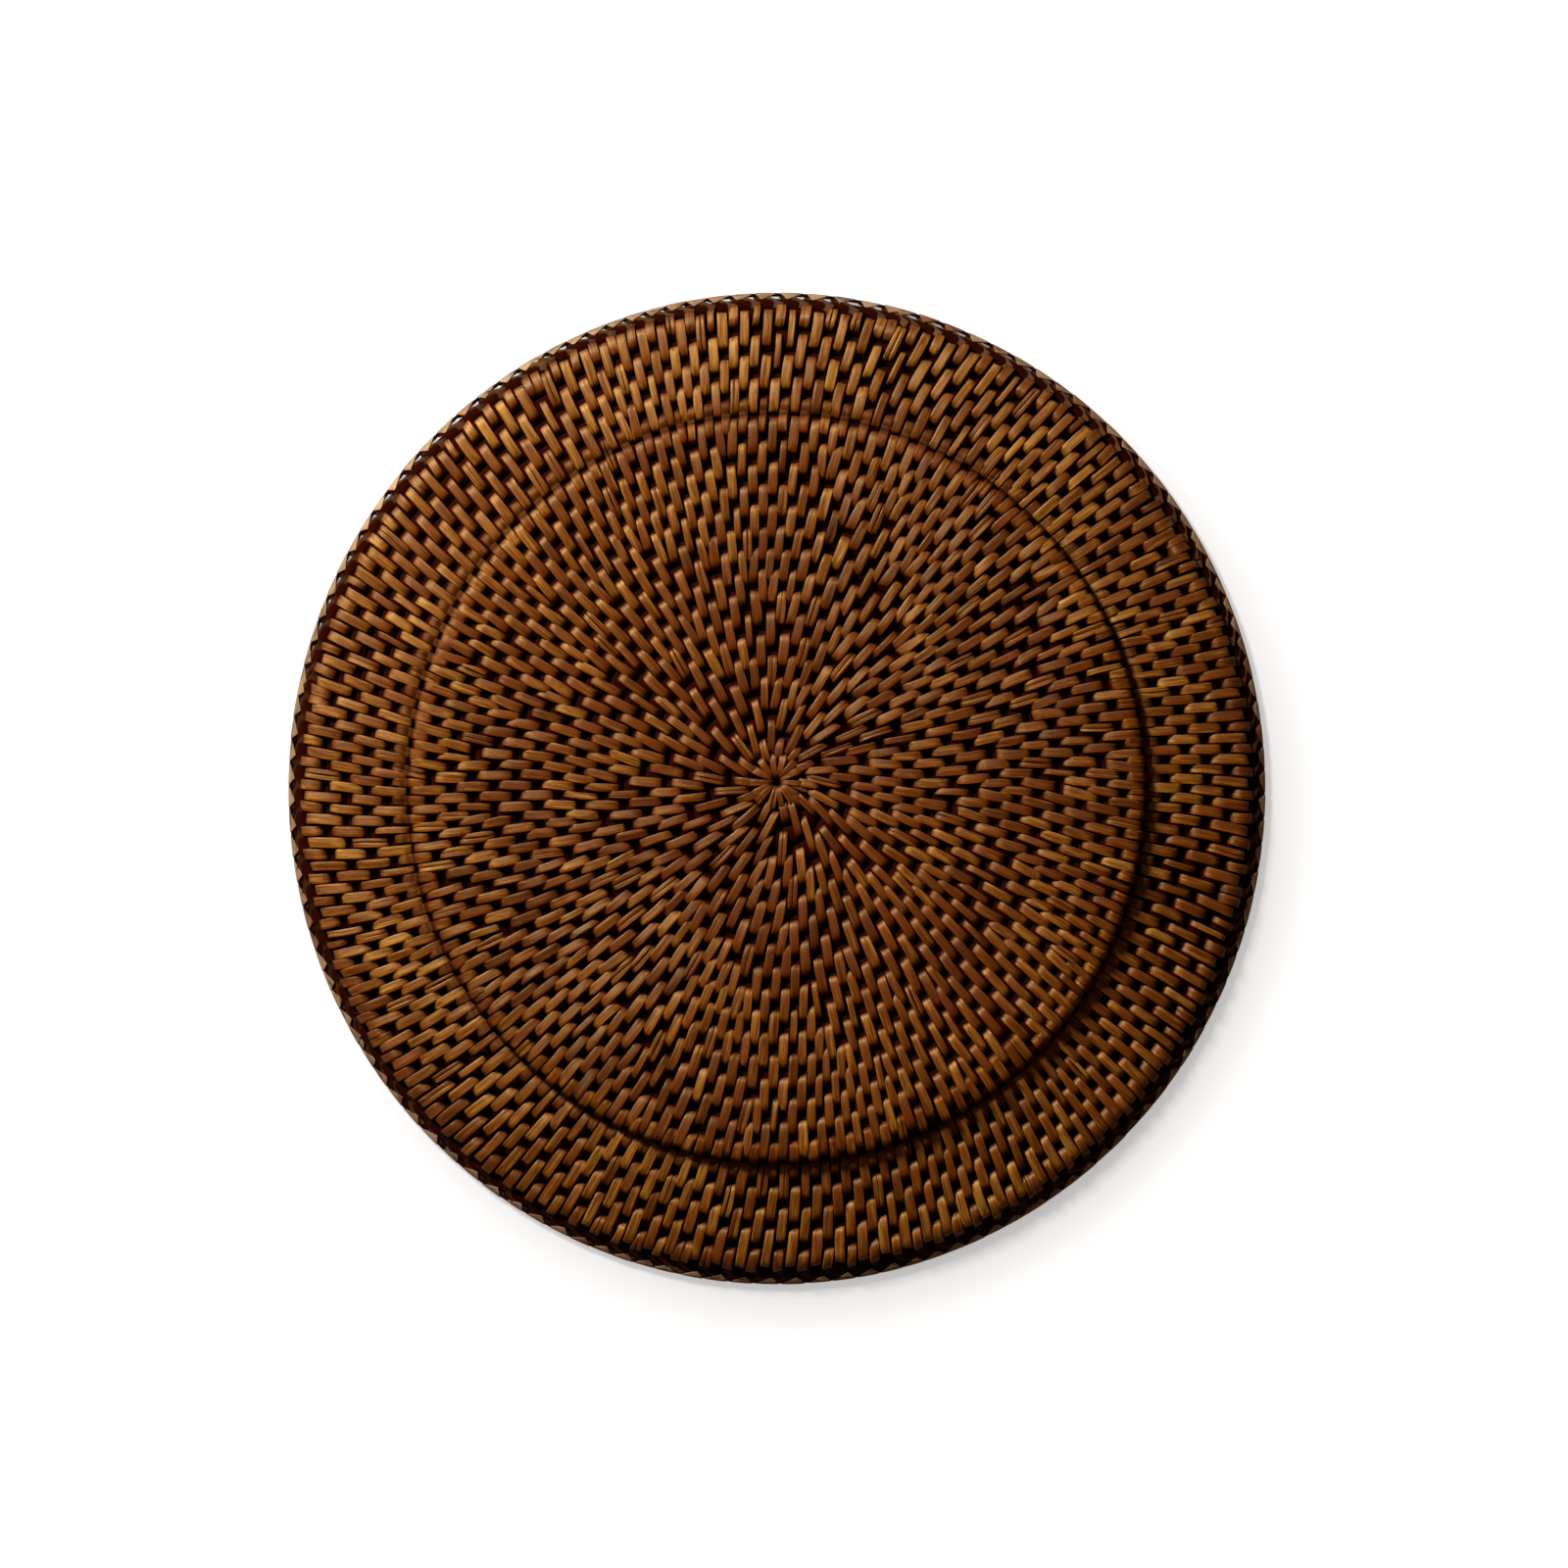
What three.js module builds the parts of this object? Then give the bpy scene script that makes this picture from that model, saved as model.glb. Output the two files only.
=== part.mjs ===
// A coiled rattan plate lying face down, with its raised foot uppermost.
// Millimetres, +Z up. The origin is the middle of the plate on the table that its rim lies on.
//
// The foot is a flat coil of round cane, sewn turn to turn with flat rattan peel. Five hoops of
// the same cane go round it, one below the other, as the sloping ring of the plate, and a thin
// rim cane is lashed round the last of them. Each round of sewing is one solid that grips the
// two canes beside it.

import * as THREE from 'three';

// Driving dimensions
const caneDiameter = 5.9;
const rimCaneDiameter = 3.8;
const stripThickness = 0.6;
const fit = 0.3; // air between a cane and its binding, and between ends that meet
const eyeRadius = 0.5; // hole in the middle of the rosette
const footTurns = 17;
const ringHoops = 5;
const stepDrop = 4.8; // height from the foot's last turn down to the first hoop
const ringSlope = THREE.MathUtils.degToRad(7);
const hoopLift = 0.8; // air under the binding of the last hoop
const lashingWidth = 2; // open band between the last hoop and the rim cane
const handmadeOval = 0.0075; // share by which the plate is longer in Y and shorter in X
const eyeShift = 2.2; // how far the eye lies off the middle of the plate, towards +Y

// How the canes are laid
const coilStart = THREE.MathUtils.degToRad(255); // where each turn begins, going clockwise
const holdShare = 2 / 3; // share of a turn that keeps its radius before it steps out
const footCaneEnds = [10, 14, footTurns]; // turns at which a length of cane ends

// Fineness of the solids
const stepsPerTurn = 24;
const rimFineness = 3; // steps of the rim for each step of a turn
const paredSteps = 4; // steps that are pared thin at both ends of the coil
const hoopJointSteps = 5; // steps between the joints of neighbouring hoops
const hexAngle = Math.PI / 3; // all canes are six-sided, with a flat on top

// Sizes that follow from the driving ones
const caneRadius = caneDiameter / 2;
const rimCaneRadius = rimCaneDiameter / 2;
const seatGap = fit / Math.cos(hexAngle / 2); // corner to corner where two flats are a fit apart
const turnPitch = caneDiameter + 2 * seatGap + stripThickness;
const firstTurnRadius = eyeRadius + stripThickness + turnPitch / 2;
const footRadius = firstTurnRadius + (footTurns - 1) * turnPitch;
const hoopPitchDown = turnPitch * Math.tan(ringSlope);
const bindingHalfHeight = (caneRadius + seatGap) * Math.sin(hexAngle) + stripThickness;
const lastHoopHeight = hoopLift + bindingHalfHeight;
const firstHoopHeight = lastHoopHeight + (ringHoops - 1) * hoopPitchDown;
const footHeight = firstHoopHeight + stepDrop;
const paredShare = paredSteps / stepsPerTurn;
const hoopJointShift = hoopJointSteps / stepsPerTurn;
const rimStepsPerTurn = rimFineness * stepsPerTurn;
const rimReach = caneRadius + rimCaneRadius + 2 * seatGap + lashingWidth;

const canePalette = { color: 0x3b210f, roughness: 0.6, metalness: 0 };
const bindingPalette = { color: 0x7a4a1e, roughness: 0.4, metalness: 0 };
const rimPalette = { color: 0x8a6236, roughness: 0.5, metalness: 0 };

// Middle of the foot coil after a number of turns, and the radius of the cane there. Each turn
// keeps its radius and then steps out by one pitch. The cane is pared where the coil begins and
// ends, so that both ends fill what the neighbouring turn leaves free.
function footCaneAt(turns) {
  const round = Math.floor(turns);
  const stepOut = THREE.MathUtils.smoothstep(turns - round, holdShare, 1);
  const middle = { height: footHeight };
  if (turns < 0) {
    middle.radius = firstTurnRadius + turnPitch * (stepOut - 1) / 2;
    middle.cane = caneRadius * stepOut;
  } else if (turns > footTurns - 1) {
    middle.radius = footRadius + turnPitch * stepOut / 2;
    middle.cane = caneRadius * (1 - stepOut);
  } else {
    middle.radius = firstTurnRadius + turnPitch * (round + stepOut);
    middle.cane = caneRadius;
  }
  return middle;
}

// Middle of a hoop of the ring, counted from the foot outward.
function hoopAt(hoop) {
  return {
    radius: footRadius + hoop * turnPitch,
    height: firstHoopHeight - (hoop - 1) * hoopPitchDown,
    cane: caneRadius,
  };
}

function rimCaneMiddle() {
  return {
    radius: hoopAt(ringHoops).radius + rimReach,
    height: rimCaneRadius * Math.sin(hexAngle),
    cane: rimCaneRadius,
  };
}

// Section of a cane, as points of radius and height.
function caneSection(middle) {
  const corners = [];
  for (let corner = 0; corner < 6; corner++) {
    const angle = corner * hexAngle;
    const radius = middle.radius + middle.cane * Math.cos(angle);
    const height = middle.height + middle.cane * Math.sin(angle);
    corners.push(new THREE.Vector2(radius, height));
  }
  return corners;
}

// The three corners where a binding seats on one side of a cane: over its shoulder, at its
// middle and under it. Side is 1 on the outside of the cane and -1 on its inside.
function seatCorners(middle, side) {
  const seat = middle.cane + seatGap;
  const lapWidth = seat * Math.cos(hexAngle) - stripThickness / Math.tan(hexAngle);
  const lapHeight = seat * Math.sin(hexAngle) + stripThickness;
  return {
    over: new THREE.Vector2(middle.radius + side * lapWidth, middle.height + lapHeight),
    beside: new THREE.Vector2(middle.radius + side * seat, middle.height),
    under: new THREE.Vector2(middle.radius + side * lapWidth, middle.height - lapHeight),
  };
}

// Section of a round of sewing between two canes: waisted where it passes between them.
function bindingSection(inner, outer) {
  const left = seatCorners(inner, 1);
  const right = seatCorners(outer, -1);
  return [left.under, right.under, right.beside, right.over, left.over, left.beside];
}

// Section of the sewing from a cane down to a lower one, which leaves the underside of the lower
// cane free.
function steppedSection(upper, lower) {
  const left = seatCorners(upper, 1);
  const right = seatCorners(lower, -1);
  return [left.under, right.beside, right.over, left.over, left.beside];
}

// How far the foot is drawn towards +Y at a radius: most at the eye, and not at all at its edge.
function drawnBy(radius) {
  return eyeShift * Math.max(0, 1 - radius / footRadius);
}

// Point of the plate at a place on the coil, counted in clockwise turns from its beginning.
function platePoint(corner, turns) {
  const azimuth = coilStart - turns * 2 * Math.PI;
  const x = corner.x * Math.cos(azimuth) * (1 - handmadeOval);
  const y = corner.x * Math.sin(azimuth) * (1 + handmadeOval) + drawnBy(corner.x);
  return new THREE.Vector3(x, y, corner.y);
}

// Sections along part of a coil, with half a fit left free at both ends.
function sectionsAlong(first, last, steps, sectionAt) {
  const count = Math.round((last - first) * steps);
  const sections = [];
  for (let step = 0; step <= count; step++) {
    const even = first + (last - first) * step / count;
    const radius = sectionAt(even)[0].x;
    const endGap = fit / 2 / (2 * Math.PI * radius);
    const turns = THREE.MathUtils.clamp(even, first + endGap, last - endGap);
    const corners = sectionAt(turns);
    sections.push({ turns, corners });
  }
  return sections;
}

// Closed solid through a row of sections with a face at each end.
function sweep(sections) {
  const positions = [];
  for (const { turns, corners } of sections) {
    for (const corner of corners) {
      positions.push(...platePoint(corner, turns).toArray());
    }
  }
  const sides = sections[0].corners.length;
  const index = [];
  for (let section = 0; section < sections.length - 1; section++) {
    for (let side = 0; side < sides; side++) {
      const here = section * sides + side;
      const next = section * sides + (side + 1) % sides;
      index.push(here, next, next + sides);
      index.push(here, next + sides, here + sides);
    }
  }
  const lastStart = (sections.length - 1) * sides;
  for (const [a, b, c] of THREE.ShapeUtils.triangulateShape(sections[0].corners, [])) {
    index.push(a, c, b);
  }
  for (const [a, b, c] of THREE.ShapeUtils.triangulateShape(sections.at(-1).corners, [])) {
    index.push(lastStart + a, lastStart + b, lastStart + c);
  }
  const geometry = new THREE.BufferGeometry();
  geometry.setAttribute('position', new THREE.Float32BufferAttribute(positions, 3));
  geometry.setIndex(index);
  geometry.computeVertexNormals();
  return geometry;
}

const plate = new THREE.Group();

function addPiece(name, geometry, palette) {
  const mesh = new THREE.Mesh(geometry, new THREE.MeshStandardMaterial(palette));
  mesh.name = name;
  plate.add(mesh);
}

// Least air between a coil and itself, over its corner points at least half a turn apart.
function leastGap(sections) {
  const points = sections.map(({ turns, corners }) => corners.map((corner) => platePoint(corner, turns)));
  const halfTurn = Math.ceil(stepsPerTurn / 2);
  let least = Infinity;
  for (let here = 0; here < points.length; here++) {
    for (let there = here + halfTurn; there < points.length; there++) {
      for (const a of points[here]) {
        for (const b of points[there]) {
          least = Math.min(least, a.distanceTo(b));
        }
      }
    }
  }
  return least;
}

// Foot: the coil in several lengths of cane, joined end to end
footCaneEnds.forEach((end, length) => {
  const begin = length === 0 ? 0 : footCaneEnds[length - 1];
  const sections = sectionsAlong(begin - paredShare, end - paredShare, stepsPerTurn, (turns) =>
    caneSection(footCaneAt(turns)));
  const name = `foot_cane_${length + 1}`;
  addPiece(name, sweep(sections), canePalette);
  console.log(`${name}: least gap to itself ${leastGap(sections).toFixed(2)} mm`);
});

// Foot: the rounds of sewing between its turns
for (let round = 1; round < footTurns; round++) {
  const begin = round - 1 - paredShare;
  const sections = sectionsAlong(begin, begin + 1, stepsPerTurn, (turns) =>
    bindingSection(footCaneAt(turns), footCaneAt(turns + 1)));
  addPiece(`foot_binding_${String(round).padStart(2, '0')}`, sweep(sections), bindingPalette);
}

// Foot: the rosette of first stitches, drawn through the eye and over the first turn
const rosetteSeat = seatCorners(footCaneAt(0), -1);
const eyeTop = new THREE.Vector2(eyeRadius, rosetteSeat.over.y);
const eyeBottom = new THREE.Vector2(eyeRadius, rosetteSeat.under.y);
rosetteSeat.beside.x = firstTurnRadius - turnPitch / 2;
const rosetteProfile = [eyeTop, eyeBottom, rosetteSeat.under, rosetteSeat.beside, rosetteSeat.over, eyeTop];
const rosette = new THREE.LatheGeometry(rosetteProfile, stepsPerTurn);
rosette.rotateX(Math.PI / 2);
rosette.translate(0, drawnBy(rosetteSeat.beside.x), 0);
addPiece('centre_rosette', rosette, bindingPalette);

// Step: the round of sewing from the foot's last turn down to the first hoop
const stepBegin = footTurns - 1 - paredShare;
const stepSections = sectionsAlong(stepBegin, stepBegin + 1, stepsPerTurn, (turns) =>
  steppedSection(footCaneAt(turns), hoopAt(1)));
addPiece('step_binding', sweep(stepSections), bindingPalette);

// Ring: the hoops, each one length of cane with its joint shifted on, and the sewing outside it
for (let hoop = 1; hoop <= ringHoops; hoop++) {
  const joint = hoop * hoopJointShift;
  const hoopSections = sectionsAlong(joint, joint + 1, stepsPerTurn, () => caneSection(hoopAt(hoop)));
  addPiece(`ring_hoop_${hoop}`, sweep(hoopSections), canePalette);
  if (hoop < ringHoops) {
    const sections = sectionsAlong(joint, joint + 1, stepsPerTurn, () =>
      bindingSection(hoopAt(hoop), hoopAt(hoop + 1)));
    addPiece(`ring_binding_${hoop}`, sweep(sections), bindingPalette);
  }
}

// Rim: the thin outer cane that the plate lies on, and the lashing that holds it
const rimSections = sectionsAlong(0, 1, rimStepsPerTurn, () => caneSection(rimCaneMiddle()));
addPiece('rim_cane', sweep(rimSections), rimPalette);
const lashingSections = sectionsAlong(0, 1, rimStepsPerTurn, () =>
  steppedSection(hoopAt(ringHoops), rimCaneMiddle()));
addPiece('rim_lashing', sweep(lashingSections), bindingPalette);

export default plate;
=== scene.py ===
"""A coiled rattan plate, lying face down: round canes, every stitch of peel, and the lashed rim."""

import math

import bpy
import numpy as np
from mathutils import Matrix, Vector


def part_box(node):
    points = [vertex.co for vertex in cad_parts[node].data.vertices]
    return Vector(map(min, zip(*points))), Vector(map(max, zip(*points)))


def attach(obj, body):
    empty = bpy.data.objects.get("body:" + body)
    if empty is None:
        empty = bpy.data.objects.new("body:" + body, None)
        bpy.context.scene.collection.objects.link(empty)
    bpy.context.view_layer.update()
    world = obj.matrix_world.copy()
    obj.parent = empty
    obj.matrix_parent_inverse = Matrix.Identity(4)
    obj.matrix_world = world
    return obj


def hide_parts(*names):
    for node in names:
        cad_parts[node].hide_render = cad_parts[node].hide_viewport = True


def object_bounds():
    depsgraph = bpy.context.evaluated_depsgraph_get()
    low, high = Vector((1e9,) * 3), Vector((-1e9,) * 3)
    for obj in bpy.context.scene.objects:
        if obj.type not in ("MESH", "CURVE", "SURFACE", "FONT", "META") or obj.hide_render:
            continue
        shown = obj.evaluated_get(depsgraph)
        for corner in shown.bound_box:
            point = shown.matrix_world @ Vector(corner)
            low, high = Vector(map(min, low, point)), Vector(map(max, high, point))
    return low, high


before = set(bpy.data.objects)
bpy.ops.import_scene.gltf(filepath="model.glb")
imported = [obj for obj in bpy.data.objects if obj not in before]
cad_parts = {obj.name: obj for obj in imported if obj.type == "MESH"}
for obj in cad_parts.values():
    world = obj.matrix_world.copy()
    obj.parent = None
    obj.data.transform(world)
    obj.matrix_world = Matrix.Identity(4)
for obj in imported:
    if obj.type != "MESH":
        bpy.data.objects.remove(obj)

bl_info = {
    "name": "Rattan plate",
    "version": (1, 0, 0),
    "blender": (4, 5, 0),
    "location": "3D View > Sidebar > Plate",
    "description": "Builds a coiled rattan plate, stitch by stitch, on its packed solids",
    "category": "Object",
}

cad_low, cad_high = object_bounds()

MM = 0.001
TAU = 2 * math.pi

# How the coil is wound, as in the solids: it starts at this azimuth and runs clockwise seen from above.
COIL_START = math.radians(255)
HOLD_SHARE = 2 / 3   # share of a turn at a steady radius, before the coil steps out by one pitch
PARED_SHARE = 1 / 6  # share of a turn over which each end of the coil is pared thin
FOOT_LENGTHS = (10, 14, 17)  # the turn at which each length of foot cane ends
COIL_TIP = 0.03      # share of a turn by which the round coil stops short of its solid
HEX_HEIGHT = math.sin(math.radians(60))  # half height of a solid's six-sided cane, for a radius of 1
COIL = -1            # the coil's line, beside the hoops' lines 0, 1, ...

# Fineness of the meshes, in corners
STITCH_STEPS = 28    # along a stitch, all the way round its canes
STEP_STEPS = 40      # along the longer stitches of the step
CANE_SIDES = 12      # round a cane
COIL_STEPS = 72      # along a turn of the coil
HOOP_STEPS = 180     # along a hoop
RIM_STEPS = 240      # along a cane of the rim
SECTION_ACROSS = np.array([-1.0, -0.97, -0.84, -0.42, 0.0, 0.42, 0.84, 0.97, 1.0, 0.88, -0.88])
SECTION_HEIGHT = np.array([0.5, 0.82, 0.95, 0.99, 1.0, 0.99, 0.95, 0.82, 0.5, 0.0, 0.0])
ON_TOP = slice(2, 7)  # the corners of a strip's section that lie on its outer face

# Where the ends of some stitches sit, beside the middles of their canes
EYE_SEAT = 0.6             # least seat of the first stitches, in pitches out from the first turn
WALL_OUT = 0.8 * MM        # last row of the foot, further out over the step
RING_IN = 0.7 * MM         # first row of the ring, further in under the step
RING_OUT = 1.1 * MM        # last row of the ring, further out
EDGE_OUT = 2.2 * MM        # edge stitches, out beside the last hoop
EDGE_DOWN = 0.9 * MM
PETAL_NEAR = 1.7 * MM      # radius of the petals' tips in the eye
PETAL_FAR = 2.7 * MM       # outer ends of the petals, out from the first turn
PETAL_LIFT = 0.25 * MM     # petals, up from the foot's canes
PETAL_SPREAD = 0.15        # how far a petal may lie off its place, for a step of 1
PETAL_ROOM = 0.8           # share of its step that a petal may fill

# How the stitches find their places along the canes
DOUBLE_LIMITS = (1.3, 1.9)  # stitches owed to a gap from which it gets two
LEAST_ANGLE = 1e-9         # a hold with less than this to its neighbour has none on that side
SETTLE_ROUNDS = 80
EVEN_SHARE = 0.4           # share of the way to the middle between its neighbours, in a round
LEAN_SHARE = 0.3           # share of the way to its lean that each end of a stitch goes, in a round

# Drifts over the plate, as waves: number round it, turn from a row to the next, and start
LEAN_WAVES = ((3, 0.5, 0.0), (5, -0.8, 1.7), (9, 0.6, 4.1))
TONE_WAVES = ((2, 0.7, 0.0), (3, -1.1, 2.1), (7, 1.4, 0.7))

# Unevenness of the strips, as spreads, shares and limits
PLACE_SPREAD = 0.07 * MM   # of a stitch along its cane
RISE_SPREAD = 0.09 * MM    # of its height over the canes
REACH_SPREAD = 0.22 * MM   # of how far its ends reach
BOW_SPREAD = 0.15 * MM     # of the bow along it
RIDGE_SPREAD = 0.07        # of the ridges on its outer face, for a thickness of 1
WIDTH_SPREAD = 0.07
WIDTH_LIMITS = (0.8, 1.14)
NARROW_SHARE = 0.07        # share of the strips that are cut narrow
NARROW_LIMITS = (0.62, 0.8)
EYE_WIDTH = 0.74           # width of the strips near the eye, for 1 elsewhere
SLIM_MARKS = (10 * MM, 45 * MM)  # radii between which they widen
LEAST_HALF = 0.2 * MM      # half the width that a strip keeps where it has no room
END_TAPER = 0.06
SPLIT_HALF = 0.06 * MM     # half the gap along a split strip
TILT_LIMIT = 0.16 * MM
GRAIN_RANGE = 400          # strips start their grain anywhere from 0 to this, in mm

# Tones of the strips: paleness, warmth and stain, each from 0 to 1; painted shade is added to the stain in
# places
MIDDLE_TONE = 0.5
TONE_SPREAD = 0.085
WARMTH_POWER = 6           # the higher, the fewer strips are reddish
STAIN_LIMIT = 0.15
PATCH_TONE = (0.035, -0.1)  # how much paler and redder the sewing gets in patches
EYE_TONE = (-0.06, 0.4)    # and towards the eye
EYE_MARKS = (30 * MM, 85 * MM)  # radii between which that ends
# painted light: the ring's peel is made paler, so that the ring, sloping away from the light on its far side,
# is not too dark
RING_PALER = 0.09
GROOVE_SHADE = 0.35        # painted shade in the groove below the step
GROOVE_OUT = 4.0 * MM      # where it lies, out from the foot's last turn
GROOVE_HALF = 1.2 * MM
LANDING_SHADE = 0.3        # painted shade on the first hoop
LANDING_MARKS = (3 * MM, 5 * MM)

# Arches of the stitches
SHORT_SPAN = 0.4           # a stitch shorter than this many pitches goes round one cane
LONG_ARCH = 3.3            # how square an arch is, where 2 is round
SHORT_ARCH = 2.4
SHORT_REACH = 1.3

# Round canes of the rim: how far in from the plate's edge, how far up, half width and half height
RIM_ROD = (0.85 * MM, 0.0, 0.6 * MM, 0.75 * MM)
LASH_ROD = (4.4 * MM, 0.9 * MM, 2.1 * MM, 1.2 * MM)

# Loop of a rim wrap in mm: depth from the plate's edge, and height above the ground
WRAP_CORNERS = ((0.3, 0.3), (0.05, 1.1), (0.15, 2.0), (0.85, 2.6),
                (1.7, 2.95), (2.4, 3.0), (2.2, 1.6), (1.4, 0.3))
WRAP_THICK = 0.4 * MM
WRAP_TILT = 0.03 * MM
WRAP_SPREAD = 0.05 * MM
WRAP_START = 0.25 * MM     # depth from which a wrap narrows
WRAP_SIDES = (0.28, 0.7)   # how far its sides come in at full depth, for a period of 1
SIDE_SPREAD = 0.03
OFF_GROUND = 0.02 * MM     # least height of the rim's peel

# Line of a dark strand in mm: depth from the plate's edge, and height over the middle of the rim
STRAND_CORNERS = ((0.6, 0.0), (1.6, 0.5), (2.4, 0.7), (3.4, 1.3), (4.4, 2.1), (5.2, 2.6))
STRAND_START = 0.45        # place beside its wrap, for a period of 1
STRAND_THICK = 0.4 * MM
# painted shade: how far the strands' colour is darkened and reddened, so that the band under the rim reads
# dark
STRAND_SHADE = 0.7
STRAND_COVER = 0.7 * MM    # depth from the plate's edge that the strands keep
STRAND_SPREAD = 0.12 * MM
STRAND_WIDTH_SPREAD = 0.12
STRAND_WIDTH_LIMITS = (0.7, 1.3)
SHADE_SPREAD = 0.08

# White of the ground: marks between which it comes up, as distances out from the plate's edge
SLIT_MARKS = (0.0, 1.4 * MM)
OPEN_MARKS = (-0.8 * MM, -0.4 * MM)
SHADE_MARKS = (-24 * MM, 8 * MM)
FAR_MARKS = (12 * MM, 60 * MM)
# Painted light: the ground glows through the rim's slits only on the side around this azimuth
SLIT_SIDE = math.radians(110)  # azimuth of the side where the ground shows through the rim's slits
SLIT_SHIFT = 3 * MM
SHADE_SHIFT = 9.5 * MM     # how far the plate's shade lies away from the light
GROUND_HALF = 3.0          # half the side of the ground


def smooth_step(low, high, value):
    """0 below the low mark, 1 above the high one, and smooth between."""
    share = np.clip((value - low) / (high - low), 0, 1)
    return share * share * (3 - 2 * share)


def hoop_of(node):
    """Radius, height and cane radius of a hoop's solid, and the share by which it is longer in Y."""
    low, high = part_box(node)
    cane = (high.z - low.z) / 2 / HEX_HEIGHT
    reach = (high.x + high.y) / 2
    oval = (high.y - high.x) / (high.x + high.y)
    return reach - cane, (low.z + high.z) / 2, cane, oval


class Lay:
    """Where the canes lie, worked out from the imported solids."""

    def __init__(self):
        self.foot_rows = sum(name.startswith("foot_binding_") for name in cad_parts)
        self.hoops = sum(name.startswith("ring_hoop_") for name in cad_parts)
        rings = [hoop_of(f"ring_hoop_{k + 1}") for k in range(self.hoops)]
        self.hoop_radius = [ring[0] for ring in rings]
        self.hoop_height = [ring[1] for ring in rings]
        self.oval = rings[0][3]
        self.pitch = rings[1][0] - rings[0][0]
        self.foot_radius = rings[0][0] - self.pitch
        self.first_radius = self.foot_radius - self.foot_rows * self.pitch
        low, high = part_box("foot_cane_2")
        self.foot_height = (low.z + high.z) / 2
        rim_radius, self.rim_height, rim_cane, _ = hoop_of("rim_cane")
        self.rim_edge = rim_radius + rim_cane
        low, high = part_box("centre_rosette")
        seat = self.first_radius - self.pitch / 2
        self.eye_shift = (low.y + high.y) / 2 / (1 - seat / self.foot_radius)

    def coil(self, turn):
        """Radius of the coil, and the share of the cane's thickness, at a turn counted from its start."""
        turn = np.asarray(turn, float)
        rounds = np.floor(turn)
        step = smooth_step(HOLD_SHARE, 1, turn - rounds)
        radius = self.first_radius + self.pitch * (rounds + step)
        before = turn < 0
        after = turn > self.foot_rows
        radius = np.where(before, self.first_radius + self.pitch * (step - 1) / 2, radius)
        radius = np.where(after, self.foot_radius + self.pitch * step / 2, radius)
        share = np.where(before, step, np.where(after, 1 - step, 1.0))
        return radius, share

    def hand_made(self, points):
        """The round plate's points as the real one lies: a little oval, with its eye off the middle."""
        bent = points.copy()
        radius = np.hypot(points[..., 0], points[..., 1])
        bent[..., 0] = points[..., 0] * (1 - self.oval)
        drawn = self.eye_shift * np.clip(1 - radius / self.foot_radius, 0, 1)
        bent[..., 1] = points[..., 1] * (1 + self.oval) + drawn
        return bent


lay = Lay()


def length_property(name, description, default):
    return bpy.props.FloatProperty(
        name=name, description=description, default=default, unit="LENGTH", subtype="DISTANCE")


def angle_property(name, description, degrees):
    return bpy.props.FloatProperty(
        name=name, description=description, default=math.radians(degrees), unit="ROTATION", subtype="ANGLE")


def share_property(name, description, default):
    return bpy.props.FloatProperty(name=name, description=description, default=default, subtype="FACTOR")


def number_property(name, description, default):
    return bpy.props.FloatProperty(name=name, description=description, default=default)


def count_property(name, description, default):
    return bpy.props.IntProperty(name=name, description=description, default=default)


def colour_property(name, description, *default):
    return bpy.props.FloatVectorProperty(
        name=name, description=description, default=default, size=3, subtype="COLOR")


class PlateSizes(bpy.types.PropertyGroup):
    """Sizes of the canes and of the sewing."""

    cane_width: length_property(
        "Cane width", "Half the width of a cane, pressed flat between its neighbours",
        lay.pitch / 2 + 0.12 * MM)
    cane_height: length_property("Cane height", "Half the height of a cane under its sewing", 1.9 * MM)
    strip_width: length_property("Strip width", "Width of the binding peel", 3.45 * MM)
    strip_thickness: length_property(
        "Strip thickness", "Thickness of the binding peel in its middle", 0.58 * MM)
    strip_rise: length_property(
        "Strip rise", "From a cane's middle up to the inner face of the peel over it", 2.85 * MM)
    strip_end: length_property(
        "Strip end", "From a cane's middle out to where the peel goes down into its hole", 1.8 * MM)
    stitch_period: length_property(
        "Stitch period", "Distance from a stitch to the next of its row on the foot", 6.3 * MM)
    stitch_slant: angle_property("Stitch slant", "Clockwise lean of a stitch's outer end", 8)
    slant_spread: angle_property("Slant spread", "How far the lean changes from place to place", 3)
    stitch_roll: angle_property(
        "Stitch roll", "How far stitches are twisted about their length, as a spread", 6)
    strip_gap: length_property(
        "Strip gap", "Gap that strips side by side are pressed to, below 0 where they push together",
        -0.5 * MM)
    ring_stitches: count_property("Ring stitches", "Number of stitches in a row of the ring", 128)
    split_share: share_property(
        "Split strips", "Share of the stitches whose peel has split lengthwise", 0.08)
    rim_wraps: count_property("Rim wraps", "Number of lashings round the rim", 136)
    rim_depth: length_property(
        "Rim depth", "Depth of the pale wraps, from the plate's edge inwards", 2.4 * MM)
    strand_width: length_property(
        "Strand width", "Width of the dark strands plaited between the rim and the last hoop", 2.9 * MM)
    strand_lean: angle_property("Strand lean", "Angle between the dark strands and the plate's edge", 27)
    petals: count_property("Petals", "Number of short stitches round the eye", 14)
    seed: count_property("Seed", "Start of the handmade unevenness", 11)


class PlateColours(bpy.types.PropertyGroup):
    """Colours of the cane and the peel."""

    peel_dark: colour_property("Dark peel", "Darkest strips", 0.045, 0.007, 0.0005)
    peel_honey: colour_property("Honey peel", "Most strips", 0.14, 0.0295, 0.001)
    peel_pale: colour_property("Pale peel", "Palest strips", 0.33, 0.14, 0.017)
    peel_red: colour_property("Reddish peel", "Strips that took the stain more", 0.12, 0.02, 0.0015)
    rim_tan: colour_property("Rim peel", "Paler peel of the rim's lashing", 0.25, 0.152, 0.083)
    # Near black partly as painted shade: this colour shows in the holes between the stitches and in the rim's
    # gaps
    core: colour_property("Core cane", "Stained cane under the sewing", 0.016, 0.002, 0.0008)


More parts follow.
